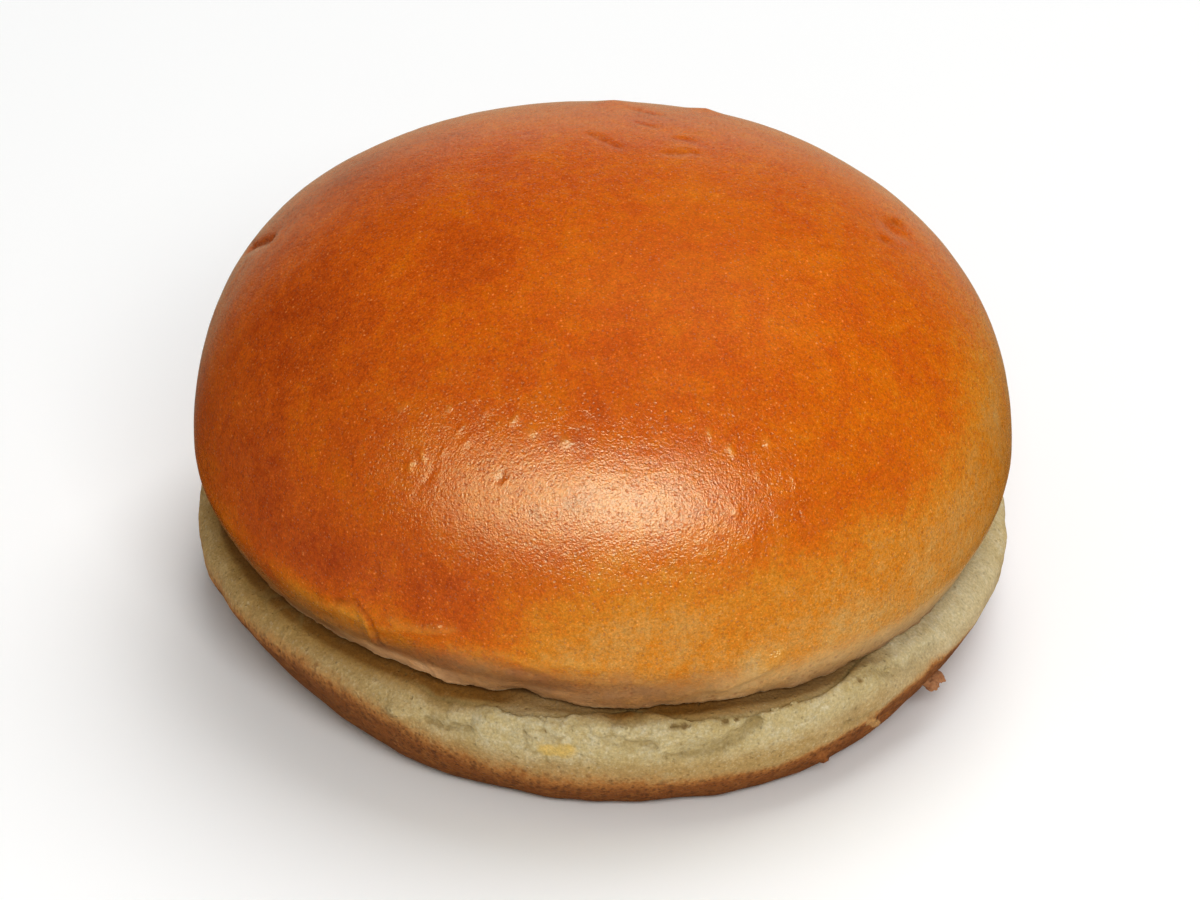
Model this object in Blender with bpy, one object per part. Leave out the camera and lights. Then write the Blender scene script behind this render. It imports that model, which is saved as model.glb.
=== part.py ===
"""Sliced hamburger bun: a glazed domed crown that lies on a low, pale heel.

Units are metres, +Z is up, and the origin is under the middle of the bun, on the surface that
it stands on. The side with the torn edge and the drooping lip faces -Y. Azimuths are in
degrees round +Z, from +X towards +Y, so 270 is the middle of the front.
"""

import math

import bmesh
import bpy
from mathutils import Matrix, Vector

MM = 0.001

# Overall sizes
WIDEST_RADIUS = 50.0 * MM       # of the crown
WIDEST_HEIGHT = 22.5 * MM       # height at which the crown is widest
TOTAL_HEIGHT = 58.3 * MM
CUT_HEIGHT = 14.5 * MM          # level of the slice between heel and crown
CUT_GAP = 0.3 * MM              # left between the two cut faces

# Axis of both turned bodies, a little off the middle of the bun's box as the outlines are uneven
TURN_CENTRE = Vector((-0.06 * MM, 0.24 * MM, 0.0))

# Crown profile
DOME_SQUARENESS = 2.22          # superellipse power of the dome, where 2 is a plain ellipse
LIP_RADIUS = 47.0 * MM
UNDERCUT_POWER = 1.8            # how the side curls in from the widest level to the lip
LIP_ROUND = 0.5 * MM
DOME_ROWS = 20
UNDERCUT_ROWS = 8
CROWN_STEPS = 112

# Heel profile
HEEL_RADIUS = 50.2 * MM
HEEL_WIDEST_HEIGHT = 9.6 * MM
BASE_RADIUS = 44.2 * MM         # of the flat that the bun stands on
BASE_SQUARENESS = 1.85
SHOULDER_ROUND = 1.6 * MM       # at the torn front edge
SHOULDER_FLAT = 44.0 * MM       # the top is level as far out as this
SHOULDER_DROP = 3.0 * MM        # more drop at the shoulder, away from the torn edge
SHOULDER_POWER = 2.2            # how late that drop sets in
SHOULDER_ROWS = 7
HEEL_STEPS = 120

# Slow waves of each outline: lobes, height, azimuth of a crest
CROWN_WAVES = ((1, 0.20 * MM, 64), (2, 1.00 * MM, -42), (3, 0.60 * MM, 35))
LIP_WAVES = ((1, 0.28 * MM, -111), (2, 0.88 * MM, -80), (3, 0.87 * MM, -39))
HEEL_WAVES = ((1, 0.76 * MM, 31), (2, 0.71 * MM, -66), (3, 0.75 * MM, 47))
BACK_SHARE = 0.45               # height that the heel's and the lip's waves keep at the back

# Local swings of the crown's outline and of the base's: azimuth, half width in degrees, how far out
CROWN_SWINGS = ((172, 12, -0.45 * MM), (60, 10, 0.45 * MM))
BASE_SWINGS = ((204, 27, -4.4 * MM), (333, 24, -3.5 * MM))      # the base curls up more here

# Local swings of the lip: azimuth, half width in degrees, how far out, how far down
LIP_SWINGS = (
    (247.0, 3.5, 0.7 * MM, 0.1 * MM),
    (257.6, 2.2, -1.6 * MM, -0.3 * MM),
    (271.5, 5.0, 0.7 * MM, 0.3 * MM),
    (299.0, 4.0, 0.5 * MM, 0.0),
    (334.0, 6.0, -0.6 * MM, -0.1 * MM),
)
LIP_WAVE_RISE = 1.5             # how the lip's waves fade out up the side, as a power
LIP_DROOP_EDGE = 8              # how close to the rim the cut face follows the lip's droop

# Relief on the crown: azimuth, height above the base, half width, depth (minus is a hollow)
CROWN_SPOTS = (
    (5.5, 49.4 * MM, 1.7 * MM, -0.6 * MM),      # puckered pit at the right
    (87.0, 54.1 * MM, 3.2 * MM, 0.45 * MM),     # low blister on the far rim
    (65.0, 52.5 * MM, 2.0 * MM, 0.35 * MM),
    (204.0, 45.0 * MM, 6.0 * MM, -0.35 * MM),   # two shallow, darker hollows
    (220.0, 55.4 * MM, 5.0 * MM, -0.25 * MM),
)

# Folds of the crown's skin: half width, height, then the azimuths and heights of their route
CROWN_FOLDS = (
    (1.2 * MM, 0.45 * MM, ((228, 22.7 * MM), (234, 24.4 * MM), (236, 22.8 * MM), (236.7, 19.0 * MM))),
    (1.2 * MM, 0.30 * MM, ((238, 21.9 * MM), (247.5, 24.0 * MM))),
    (1.3 * MM, 0.55 * MM, ((285.8, 17.6 * MM), (290, 18.8 * MM), (294, 20.8 * MM))),
    (1.0 * MM, -0.35 * MM, ((284, 16.4 * MM), (291, 17.6 * MM))),
    (1.4 * MM, -0.80 * MM, ((164, 41.8 * MM), (168, 44.8 * MM))),     # dimple at the back left
)

# The torn stretch of the heel's edge, and the ledge that it leaves behind the ragged rim
TORN_FROM, TORN_TO, TORN_SOFT = 253.0, 311.0, 4.0
LEDGE_DEPTH = 0.9 * MM
LEDGE_INNER, LEDGE_OUTER = 45.2 * MM, 48.9 * MM
LEDGE_SLOPE = 1.1 * MM          # width of the slope at each side of the ledge
RAGGED_HEIGHT = 0.35 * MM
RAGGED_WAVES = ((41, 0.45, 3.0), (67, 0.35, 11.0), (97, 0.20, 5.0))     # lobes, share, azimuth

# Relief on the heel's side, in the same terms as on the crown
HEEL_SPOTS = (
    (240.4, 12.4 * MM, 1.3 * MM, 0.8 * MM),     # torn fleck
    (279.9, 13.8 * MM, 0.9 * MM, -0.7 * MM),    # pits under the ragged rim
    (285.5, 13.6 * MM, 0.9 * MM, -0.7 * MM),
    (276.0, 11.6 * MM, 1.1 * MM, -0.4 * MM),
    (264.0, 11.0 * MM, 2.0 * MM, 0.25 * MM),    # yellow fleck
    (301.7, 3.9 * MM, 0.9 * MM, 0.6 * MM),      # nub of crust
)
HEEL_FOLDS = (
    (1.0 * MM, -0.6 * MM, ((281, 10.4 * MM), (286, 10.6 * MM), (290.7, 12.6 * MM))),
    (0.9 * MM, -0.5 * MM, ((246, 13.2 * MM), (248.5, 12.2 * MM), (251.5, 12.6 * MM))),
    (1.2 * MM, -0.7 * MM, ((309, 13.9 * MM), (316, 13.6 * MM), (323, 13.7 * MM))),
    (1.1 * MM, -0.4 * MM, ((309, 5.6 * MM), (312.5, 5.8 * MM))),
)
RELIEF_FADE = 1.0 * MM          # over which the relief fades out above a flat face
RELIEF_FADE_TOP = 0.4 * MM      # and below one

# A crust crumb stuck to the heel's lower edge at the right
CRUMB_AZIMUTH = 323.2
CRUMB_HEIGHT = 6.0 * MM
CRUMB_REACH = 49.4 * MM
CRUMB_SIZE = Vector((1.5 * MM, 1.3 * MM, 1.3 * MM))     # outward, along the edge, up
CRUMB_LUMPS = 0.22              # height of its lumps, as a share of its size

FRONT = math.radians(270)
CROWDING = 0.35                 # share by which the turned steps lie closer at the front
SHARP_ANGLE = math.radians(50)  # edges that fold by more than this are drawn sharp

GLAZED_CRUST = (0.50, 0.16, 0.022)
PALE_CRUST = (0.52, 0.40, 0.22)


def clear_scene():
    for thing in list(bpy.data.objects):
        bpy.data.objects.remove(thing, do_unlink=True)


def crust_material(name, colour, roughness):
    material = bpy.data.materials.new(name)
    material.use_nodes = True
    shader = material.node_tree.nodes["Principled BSDF"]
    shader.inputs["Base Color"].default_value = (*colour, 1.0)
    shader.inputs["Roughness"].default_value = roughness
    shader.inputs["Metallic"].default_value = 0.0
    return material


def clamp(share):
    return min(max(share, 0.0), 1.0)


def ease(share):
    """0 below 0, 1 above 1, and a smooth rise between them."""
    share = clamp(share)
    return share * share * (3 - 2 * share)


def degrees_between(azimuth, other):
    """Signed angle in degrees from one azimuth, in degrees, to another in radians."""
    return (math.degrees(other) - azimuth + 180) % 360 - 180


def nearness(azimuth, other, reach):
    """1 where two azimuths meet, falling to nothing a few reaches apart."""
    return math.exp(-((degrees_between(azimuth, other) / reach) ** 2))


def wave_sum(waves, azimuth):
    """Height of the added-up waves at an azimuth in radians."""
    return sum(
        height * math.cos(lobes * (azimuth - math.radians(crest)))
        for lobes, height, crest in waves
    )


def swing_sum(swings, azimuth):
    """How far the local swings move an outline at an azimuth in radians."""
    return sum(swing * nearness(middle, azimuth, reach) for middle, reach, swing in swings)


def front_fade(azimuth):
    """1 at the front, BACK_SHARE at the back."""
    return BACK_SHARE + (1 - BACK_SHARE) * (1 + math.cos(azimuth - FRONT)) / 2


def torn_share(azimuth):
    """1 along the torn stretch of the heel's edge, 0 away from it."""
    middle = (TORN_FROM + TORN_TO) / 2
    reach = (TORN_TO - TORN_FROM) / 2
    outside = abs(degrees_between(middle, azimuth)) - reach
    return 1 - ease(outside / TORN_SOFT + 0.5)


def superellipse(turn, power):
    """Cosine and sine of a quarter turn, squared off by a superellipse's power."""
    return max(math.cos(turn), 0.0) ** (2 / power), max(math.sin(turn), 0.0) ** (2 / power)


def crown_profile():
    """(radius, height) down the crown, from its top to its lip and in along the cut face."""
    points = []
    for row in range(DOME_ROWS + 1):
        up, out = superellipse(math.pi / 2 * row / DOME_ROWS, DOME_SQUARENESS)
        points.append((WIDEST_RADIUS * out, WIDEST_HEIGHT + (TOTAL_HEIGHT - WIDEST_HEIGHT) * up))
    lowest = CUT_HEIGHT + CUT_GAP / 2
    for row in range(1, UNDERCUT_ROWS + 1):
        share = row / UNDERCUT_ROWS
        radius = WIDEST_RADIUS - (WIDEST_RADIUS - LIP_RADIUS) * share**UNDERCUT_POWER
        height = WIDEST_HEIGHT - (WIDEST_HEIGHT - lowest - LIP_ROUND) * share
        points.append((radius, height))
    points.append((LIP_RADIUS - 0.3 * LIP_ROUND, lowest + 0.3 * LIP_ROUND))
    points.append((LIP_RADIUS - LIP_ROUND, lowest))
    points.extend((LIP_RADIUS * share, lowest) for share in (0.94, 0.75, 0.4, 0.0))
    return points


def heel_profile():
    """(radius, height) of the heel, from the middle of its cut face down to the base."""
    top = CUT_HEIGHT - CUT_GAP / 2
    shoulder_start = HEEL_RADIUS - SHOULDER_ROUND
    points = [(HEEL_RADIUS * share, top) for share in (0.0, 0.4, 0.75)]
    for row in range(SHOULDER_ROWS + 1):
        share = row / SHOULDER_ROWS
        points.append((SHOULDER_FLAT + (shoulder_start - SHOULDER_FLAT) * share, top))
    for turn in (30, 60, 90):
        angle = math.radians(turn)
        radius = shoulder_start + SHOULDER_ROUND * math.sin(angle)
        points.append((radius, top - SHOULDER_ROUND * (1 - math.cos(angle))))
    side_top = top - SHOULDER_ROUND
    for share in (0.33, 0.67, 1.0):
        points.append((HEEL_RADIUS, side_top + (HEEL_WIDEST_HEIGHT - side_top) * share))
    for turn in (15, 30, 45, 60, 75, 90):
        out, down = superellipse(math.radians(turn), BASE_SQUARENESS)
        radius = BASE_RADIUS + (HEEL_RADIUS - BASE_RADIUS) * out
        points.append((radius, HEEL_WIDEST_HEIGHT * (1 - down)))
    points.extend((BASE_RADIUS * share, 0.0) for share in (0.6, 0.0))
    return points


def turned_mesh(profile, steps):
    """A closed mesh turned round +Z from a profile whose two ends lie on the axis."""
    mesh = bmesh.new()
    rows = [mesh.verts.new((radius, 0.0, height)) for radius, height in profile]
    edges = [mesh.edges.new(pair) for pair in zip(rows, rows[1:])]
    bmesh.ops.spin(
        mesh,
        geom=rows + edges,
        cent=(0, 0, 0),
        axis=(0, 0, 1),
        angle=math.tau,
        steps=steps,
        use_merge=True,
    )
    bmesh.ops.remove_doubles(mesh, verts=mesh.verts, dist=0.001 * MM)
    bmesh.ops.recalc_face_normals(mesh, faces=mesh.faces)
    return mesh


def at(azimuth, radius, height):
    return Vector((radius * math.cos(azimuth), radius * math.sin(azimuth), height))


def crown_place(azimuth, radius, height):
    """Where a point of the turned crown goes, before its relief."""
    under = clamp((WIDEST_HEIGHT - height) / (WIDEST_HEIGHT - CUT_HEIGHT))
    out = wave_sum(CROWN_WAVES, azimuth) + swing_sum(CROWN_SWINGS, azimuth)
    out += under**LIP_WAVE_RISE * wave_sum(LIP_WAVES, azimuth) * front_fade(azimuth)
    down = 0.0
    for middle, reach, swing, drop in LIP_SWINGS:
        near = nearness(middle, azimuth, reach) * under ** (2 * LIP_WAVE_RISE)
        out += near * swing
        down += near * drop
    outer = min(radius / LIP_RADIUS, 1.0)
    return at(azimuth, radius + out * outer, height - down * outer**LIP_DROOP_EDGE)


def heel_place(azimuth, radius, height):
    """Where a point of the turned heel goes, before its relief."""
    outer = min(radius / HEEL_RADIUS, 1.0)
    torn = torn_share(azimuth)
    upper = clamp((height - HEEL_WIDEST_HEIGHT) / (CUT_HEIGHT - HEEL_WIDEST_HEIGHT))
    toward_edge = max(radius - SHOULDER_FLAT, 0.0) / (HEEL_RADIUS - SHOULDER_FLAT)
    height -= (1 - torn) * SHOULDER_DROP * toward_edge**SHOULDER_POWER * upper
    into_ledge = ease((radius - LEDGE_INNER) / LEDGE_SLOPE)
    out_of_ledge = ease((radius - LEDGE_OUTER) / LEDGE_SLOPE + 1)
    on_top = ease(upper * 4 - 3)
    height -= torn * LEDGE_DEPTH * into_ledge * (1 - out_of_ledge) * on_top
    ragged = sum(
        share * math.sin(lobes * (azimuth - math.radians(crest)))
        for lobes, share, crest in RAGGED_WAVES
    )
    height += torn * RAGGED_HEIGHT * (ragged - 1) * out_of_ledge * on_top
    out = wave_sum(HEEL_WAVES, azimuth) * front_fade(azimuth)
    out += swing_sum(BASE_SWINGS, azimuth) * clamp(1 - height / HEEL_WIDEST_HEIGHT)
    return at(azimuth, radius + out * outer, height)


def surface_point(place, profile, azimuth, height):
    """The point at this azimuth and height on the outer side of a turned and waved profile."""
    sides = [
        (upper, lower)
        for upper, lower in zip(profile, profile[1:])
        if upper[1] >= height >= lower[1] and upper[1] > lower[1]
    ]
    upper, lower = sides[0]
    share = (upper[1] - height) / (upper[1] - lower[1])
    radius = upper[0] + (lower[0] - upper[0]) * share
    return place(math.radians(azimuth), radius, height)


def distance_to_path(point, path):
    """How far a point is from the nearest stretch of a path."""
    nearest = (point - path[0]).length
    for start, end in zip(path, path[1:]):
        along = end - start
        share = clamp((point - start).dot(along) / along.length_squared)
        nearest = min(nearest, (point - start - along * share).length)
    return nearest


def relief_of(place, profile, spots, folds):
    """A list of (path, half width, height) for the spots and folds of one body."""
    relief = []
    for azimuth, height, reach, depth in spots:
        relief.append(([surface_point(place, profile, azimuth, height)], reach, depth))
    for reach, depth, route in folds:
        path = [surface_point(place, profile, azimuth, height) for azimuth, height in route]
        relief.append((path, reach, depth))
    return relief


def relief_height(point, relief):
    return sum(
        depth * math.exp(-((distance_to_path(point, path) / reach) ** 2))
        for path, reach, depth in relief
    )


def shape_body(mesh, place, relief, core_height, lowest, highest):
    """Moves each turned vertex to its place, and lifts or sinks it by the relief.

    The relief fades out at the two levels given, so that the flat faces stay flat.
    """
    core = Vector((0.0, 0.0, core_height))
    for vertex in mesh.verts:
        radius = math.hypot(vertex.co.x, vertex.co.y)
        turn = math.atan2(vertex.co.y, vertex.co.x)
        azimuth = turn - CROWDING * math.sin(turn - FRONT)
        spot = place(azimuth, radius, vertex.co.z)
        fade = ease((vertex.co.z - lowest) / RELIEF_FADE)
        fade *= ease((highest - vertex.co.z) / RELIEF_FADE_TOP)
        outward = (spot - core).normalized()
        vertex.co = spot + outward * relief_height(spot, relief) * fade + TURN_CENTRE


def body_from(name, mesh, material):
    data = bpy.data.meshes.new(name)
    mesh.to_mesh(data)
    mesh.free()
    data.materials.append(material)
    data.shade_smooth()
    data.set_sharp_from_angle(angle=SHARP_ANGLE)
    body = bpy.data.objects.new(name, data)
    bpy.context.scene.collection.objects.link(body)
    return body


def make_crown():
    profile = crown_profile()
    mesh = turned_mesh(profile, CROWN_STEPS)
    relief = relief_of(crown_place, profile, CROWN_SPOTS, CROWN_FOLDS)
    lowest = CUT_HEIGHT + CUT_GAP / 2
    shape_body(mesh, crown_place, relief, WIDEST_HEIGHT, lowest, TOTAL_HEIGHT + RELIEF_FADE)
    return body_from("crown", mesh, crust_material("glazed_crust", GLAZED_CRUST, 0.42))


def make_stuck_crumb():
    """The crumb of crust, a lumpy ball sunk partly into the heel's lower edge."""
    mesh = bmesh.new()
    bmesh.ops.create_icosphere(mesh, subdivisions=2, radius=1.0)
    for vertex in mesh.verts:
        lump = math.sin(5 * vertex.co.x + 2) * math.cos(4 * vertex.co.z + 1)
        vertex.co = vertex.co * CRUMB_SIZE * (1 + CRUMB_LUMPS * lump)
    azimuth = math.radians(CRUMB_AZIMUTH)
    outward = Matrix.Rotation(azimuth, 3, "Z")
    bmesh.ops.rotate(mesh, verts=mesh.verts, cent=(0, 0, 0), matrix=outward)
    middle = at(azimuth, CRUMB_REACH, CRUMB_HEIGHT) + TURN_CENTRE
    bmesh.ops.translate(mesh, verts=mesh.verts, vec=middle)
    return mesh


def make_heel():
    profile = heel_profile()
    mesh = turned_mesh(profile, HEEL_STEPS)
    relief = relief_of(heel_place, profile, HEEL_SPOTS, HEEL_FOLDS)
    highest = CUT_HEIGHT - CUT_GAP / 2 + RELIEF_FADE_TOP / 2
    shape_body(mesh, heel_place, relief, HEEL_WIDEST_HEIGHT, RELIEF_FADE / 2, highest)
    pale_crust = crust_material("pale_crust", PALE_CRUST, 0.75)
    heel = body_from("heel", mesh, pale_crust)
    crumb = body_from("stuck_crumb", make_stuck_crumb(), pale_crust)
    crumb.hide_render = True
    crumb.display_type = "WIRE"
    union = heel.modifiers.new("stuck_crumb", "BOOLEAN")
    union.operation = "UNION"
    union.object = crumb
    return heel


clear_scene()
make_crown()
make_heel()
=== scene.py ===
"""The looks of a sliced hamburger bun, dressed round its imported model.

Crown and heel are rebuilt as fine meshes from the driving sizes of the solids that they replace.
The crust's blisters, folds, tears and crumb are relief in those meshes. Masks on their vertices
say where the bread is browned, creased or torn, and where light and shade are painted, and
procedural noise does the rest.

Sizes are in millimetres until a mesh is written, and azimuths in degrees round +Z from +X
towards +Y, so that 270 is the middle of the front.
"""

import math

import bmesh
import bpy
import numpy as np
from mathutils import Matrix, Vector


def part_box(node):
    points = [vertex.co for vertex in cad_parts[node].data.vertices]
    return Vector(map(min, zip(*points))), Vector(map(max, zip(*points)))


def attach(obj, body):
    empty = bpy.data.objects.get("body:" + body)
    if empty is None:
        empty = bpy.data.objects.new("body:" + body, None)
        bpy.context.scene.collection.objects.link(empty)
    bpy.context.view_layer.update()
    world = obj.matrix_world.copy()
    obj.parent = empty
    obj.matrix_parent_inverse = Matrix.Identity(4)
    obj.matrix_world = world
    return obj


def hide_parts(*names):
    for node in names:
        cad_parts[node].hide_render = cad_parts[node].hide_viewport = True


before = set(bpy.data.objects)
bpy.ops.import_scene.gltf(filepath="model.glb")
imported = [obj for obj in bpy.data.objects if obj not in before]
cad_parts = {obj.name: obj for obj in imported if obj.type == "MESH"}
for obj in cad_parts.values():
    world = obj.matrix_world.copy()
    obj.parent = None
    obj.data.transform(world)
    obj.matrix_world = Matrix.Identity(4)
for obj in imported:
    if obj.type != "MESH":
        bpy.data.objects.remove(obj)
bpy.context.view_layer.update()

MM = 0.001
FRONT = 270.0

# Driving sizes, the same as in the solids
TURN_CENTRE = np.array((-0.06, 0.24, 0.0))
WIDEST_RADIUS, WIDEST_HEIGHT = 50.0, 22.5
TOTAL_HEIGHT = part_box("crown")[1][2] / MM
CUT_HEIGHT, CUT_GAP = 14.5, 0.3
CROWN_BOTTOM, HEEL_TOP = CUT_HEIGHT + CUT_GAP / 2, CUT_HEIGHT - CUT_GAP / 2
DOME_SQUARENESS = 2.22
LIP_RADIUS, LIP_ROUND, UNDERCUT_POWER = 47.0, 0.5, 1.8
HEEL_RADIUS, HEEL_WIDEST_HEIGHT = 50.2, 9.6
BASE_RADIUS, BASE_SQUARENESS = 44.2, 1.85
SHOULDER_ROUND, SHOULDER_FLAT, SHOULDER_DROP, SHOULDER_POWER = 1.6, 44.0, 3.0, 2.2

# Steps of the meshes round the side, rows along their profiles, and radii where they get coarser
CROWN_STEPS, HEEL_STEPS = 640, 896
CROWDING = 0.50                 # share by which the steps lie closer at the front
DOME_ROWS, UNDERCUT_ROWS, LIP_TURNS = 150, 20, (30, 60, 90)
DOME_COARSER = ((7, 8), (14, 4), (28, 2))       # radius, and how many steps become one inside it
CUT_COARSE, CUT_COARSEST = 42, 12
BASE_COARSE, BASE_COARSEST = 36, 4

# Slow waves of each outline: lobes, height, azimuth of a crest
CROWN_WAVES = ((1, 0.20, 64), (2, 1.00, -42), (3, 0.60, 35))
LIP_WAVES = ((1, 0.28, -111), (2, 0.88, -80), (3, 0.87, -39))
HEEL_WAVES = ((1, 0.76, 31), (2, 0.71, -66), (3, 0.75, 47))
BACK_SHARE = 0.45

# Local swings: azimuth, half width in degrees, how far out, and for the lip how far down
CROWN_SWINGS = ((172, 12, -0.45), (60, 10, 0.45))
BASE_SWINGS = ((204, 27, -4.4), (333, 24, -3.5))
LIP_SWINGS = (
    (247.0, 3.5, 0.7, 0.1),
    (258.2, 2.8, -1.1, -0.2),      # in the solid a deeper notch
    (271.5, 5.0, 0.7, 0.3), (299.0, 4.0, 0.5, 0.0), (334.0, 6.0, -0.6, -0.1),
)
LIP_WAVE_RISE, LIP_DROOP_EDGE = 1.5, 8

# Relief: azimuth, height above the base, half width, depth (minus is a hollow)
CROWN_SPOTS = (
    (5.5, 49.4, 1.7, -0.6), (87.0, 54.1, 3.2, 0.45), (65.0, 52.5, 2.0, 0.35), (204.0, 45.0, 6.0, -0.35),
    (220.0, 55.4, 5.0, -0.25),
)
CROWN_FOLDS = (
    (1.2, 0.45, ((228, 22.7), (234, 24.4), (236, 22.8), (236.7, 19.0))),
    (1.2, 0.30, ((238, 21.9), (247.5, 24.0))), (1.3, 0.55, ((285.8, 17.6), (290, 18.8), (294, 20.8))),
    (1.0, -0.35, ((284, 16.4), (291, 17.6))),
    (1.5, -0.30, ((164, 41.8), (168, 44.8))),      # in the solid 0.8 deep
)

# The torn stretch, and the ledge that it leaves. Here the ledge is flatter and less ragged than in
# the solid, two pits are shallower, and the ledge ends at PART_LINE.
TORN_FROM, TORN_TO, TORN_SOFT = 253.0, 311.0, 4.0
LEDGE_DEPTH, LEDGE_INNER, LEDGE_SLOPE, LEDGE_RISE = 0.6, 45.2, 1.6, 0.9
RAGGED_HEIGHT = 0.20
RAGGED_WAVES = ((41, 0.45, 3.0), (67, 0.35, 11.0), (97, 0.20, 5.0))
HEEL_SPOTS = (
    (240.4, 12.4, 1.3, 0.8), (279.9, 13.8, 0.9, -0.4), (285.5, 13.6, 0.9, -0.4), (276.0, 11.6, 1.1, -0.4),
    (264.0, 11.0, 2.0, 0.25), (301.7, 3.9, 0.9, 0.6),
)
HEEL_FOLDS = (
    (1.0, -0.6, ((281, 10.4), (286, 10.6), (290.7, 12.6))),
    (0.9, -0.5, ((246, 13.2), (248.5, 12.2), (251.5, 12.6))),
    (1.2, -0.7, ((309, 13.9), (316, 13.6), (323, 13.7))), (1.1, -0.4, ((309, 5.6), (312.5, 5.8))),
)

# Finer relief that only these meshes have, in the same terms
FINE_CROWN_SPOTS = (
    (258.2, 46.5, 0.55, 0.16), (264.1, 46.2, 0.60, 0.20), (297.0, 44.6, 0.40, 0.22),
    (289.4, 39.2, 0.60, 0.12), (291.0, 36.1, 0.60, 0.10), (293.8, 42.3, 0.30, 0.14),
    (297.4, 41.5, 0.30, 0.12), (86.6, 54.2, 0.9, 0.10), (64.6, 52.6, 0.6, 0.12), (9.0, 49.0, 0.8, -0.30),
    (358.0, 50.5, 0.7, -0.25),
)
FINE_CROWN_FOLDS = (
    (0.35, 0.16, ((233.7, 45.4), (234.5, 46.1))), (0.28, 0.16, ((242.0, 46.6), (242.5, 47.0))),
    (0.30, 0.12, ((245.8, 47.8), (246.9, 48.2))), (0.28, 0.12, ((249.3, 47.2), (249.8, 47.5))),
    (0.28, 0.12, ((245.3, 45.3), (245.7, 45.7))), (0.34, 0.17, ((254.4, 47.1), (255.0, 47.5))),
    (0.30, 0.20, ((240.3, 42.7), (241.1, 41.9))), (0.28, 0.18, ((239.4, 40.8), (239.4, 41.4))),
    (0.30, 0.13, ((243.9, 42.9), (244.3, 43.4))), (0.30, 0.12, ((247.0, 44.4), (247.6, 44.9))),
    (0.27, 0.14, ((290.4, 45.1), (290.7, 44.4))), (0.30, 0.13, ((294.8, 38.3), (295.5, 37.4))),
    (0.30, 0.12, ((267.0, 48.6), (268.8, 48.3))), (0.30, 0.14, ((287.8, 46.7), (288.1, 46.1))),
    (0.28, 0.12, ((299.2, 41.4), (298.9, 39.9))), (0.26, 0.12, ((299.3, 37.6), (300.6, 35.6))),
    (0.26, 0.12, ((295.2, 36.0), (295.3, 35.4))), (0.30, -0.17, ((243.4, 41.4), (242.5, 40.2))),
    (0.26, -0.12, ((241.9, 39.6), (241.3, 38.5))), (0.30, -0.22, ((254.0, 42.0), (254.6, 42.7))),
    (0.40, -0.20, ((212.7, 27.4), (212.3, 28.2))), (0.40, -0.25, ((237.7, 28.6), (237.2, 29.8))),
    (0.34, -0.46, ((230.0, 22.6), (234.0, 23.8), (236.6, 22.2), (237.4, 18.2))),
    (0.32, 0.26, ((231.0, 22.0), (233.6, 23.0), (235.4, 21.9), (236.2, 18.8))),
    (0.34, 0.26, ((238.2, 21.8), (242.0, 22.7), (245.0, 23.1), (247.8, 24.2))),
    (0.40, 0.20, ((226.0, 20.4), (230.0, 21.6), (233.6, 21.2))),
    (0.35, 0.16, ((228.0, 18.6), (232.0, 19.3), (235.4, 18.2))),
    (0.50, 0.22, ((240.0, 23.4), (244.5, 23.3), (249.5, 24.6))),
    (0.45, 0.26, ((256.0, 22.6), (261.8, 21.4), (264.5, 22.3), (269.8, 22.1))),
    (0.35, 0.22, ((262.1, 22.3), (262.9, 23.2))),
    (0.45, 0.18, ((262.0, 20.9), (264.4, 19.9), (269.8, 19.5), (275.1, 19.7))),
    (0.55, -0.18, ((267.2, 23.6), (275.0, 24.2), (282.6, 23.0))),
    (0.45, -0.20, ((252.0, 21.0), (257.0, 20.4), (261.0, 20.0))),
    (0.80, 0.30, ((286.8, 17.4), (289.1, 18.8), (291.7, 20.1), (293.8, 21.6))),
    (0.50, 0.30, ((241.4, 16.4), (244.5, 15.6), (247.0, 15.2))),
    (0.50, 0.32, ((243.0, 18.4), (244.3, 17.3), (245.6, 15.8))),
    (0.45, -0.36, ((163.2, 41.2), (165.6, 43.0), (168.6, 45.4))),
    (0.50, -0.22, ((79.0, 55.2), (71.0, 55.5))), (0.45, -0.21, ((75.0, 56.7), (66.0, 56.9))),
    (0.50, -0.21, ((97.0, 57.6), (74.5, 58.0))), (0.60, -0.22, ((41.0, 57.8), (35.0, 57.4))),
    (0.45, -0.21, ((52.0, 57.2), (47.0, 57.0))), (0.40, -0.22, ((159.8, 40.4), (162.0, 41.4))),
)
FINE_HEEL_SPOTS = (
    (263.7, 12.8, 0.35, -0.35), (244.0, 12.6, 0.45, -0.30), (301.6, 3.7, 0.50, 0.50),
)
HEEL_HOLES = (
    (279.6, 13.9, 0.45, -0.50), (280.9, 13.8, 0.60, -0.60), (286.3, 13.6, 0.55, -0.50),
    (288.0, 13.7, 0.35, -0.30), (262.4, 12.6, 0.30, -0.25), (306.8, 13.9, 0.40, -0.35),
)
FINE_HEEL_FOLDS = (
    (0.30, -0.32, ((259.2, 12.6), (259.6, 11.9), (260.4, 11.3))),
    (0.80, -0.30, ((266.5, 9.7), (269.4, 8.2))),
    (0.45, -0.35, ((273.0, 11.6), (275.0, 11.8), (277.0, 11.4))),
    (0.40, -0.45, ((278.0, 9.9), (281.6, 9.6), (285.7, 10.0), (288.2, 11.0), (290.7, 12.6))),
    (0.30, -0.40, ((245.0, 12.5), (247.7, 11.9), (249.6, 12.6), (251.6, 12.4))),
    (0.28, -0.30, ((266.4, 12.9), (268.0, 12.4), (268.8, 11.8))),
    (0.28, -0.30, ((289.0, 13.3), (291.6, 12.6), (293.8, 12.9))),
    (0.45, 0.40, ((308.9, 7.2), (310.4, 6.0), (311.8, 4.8))),
    (0.35, -0.50, ((304.0, 8.6), (306.8, 8.0), (309.4, 8.3))),
)

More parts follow.
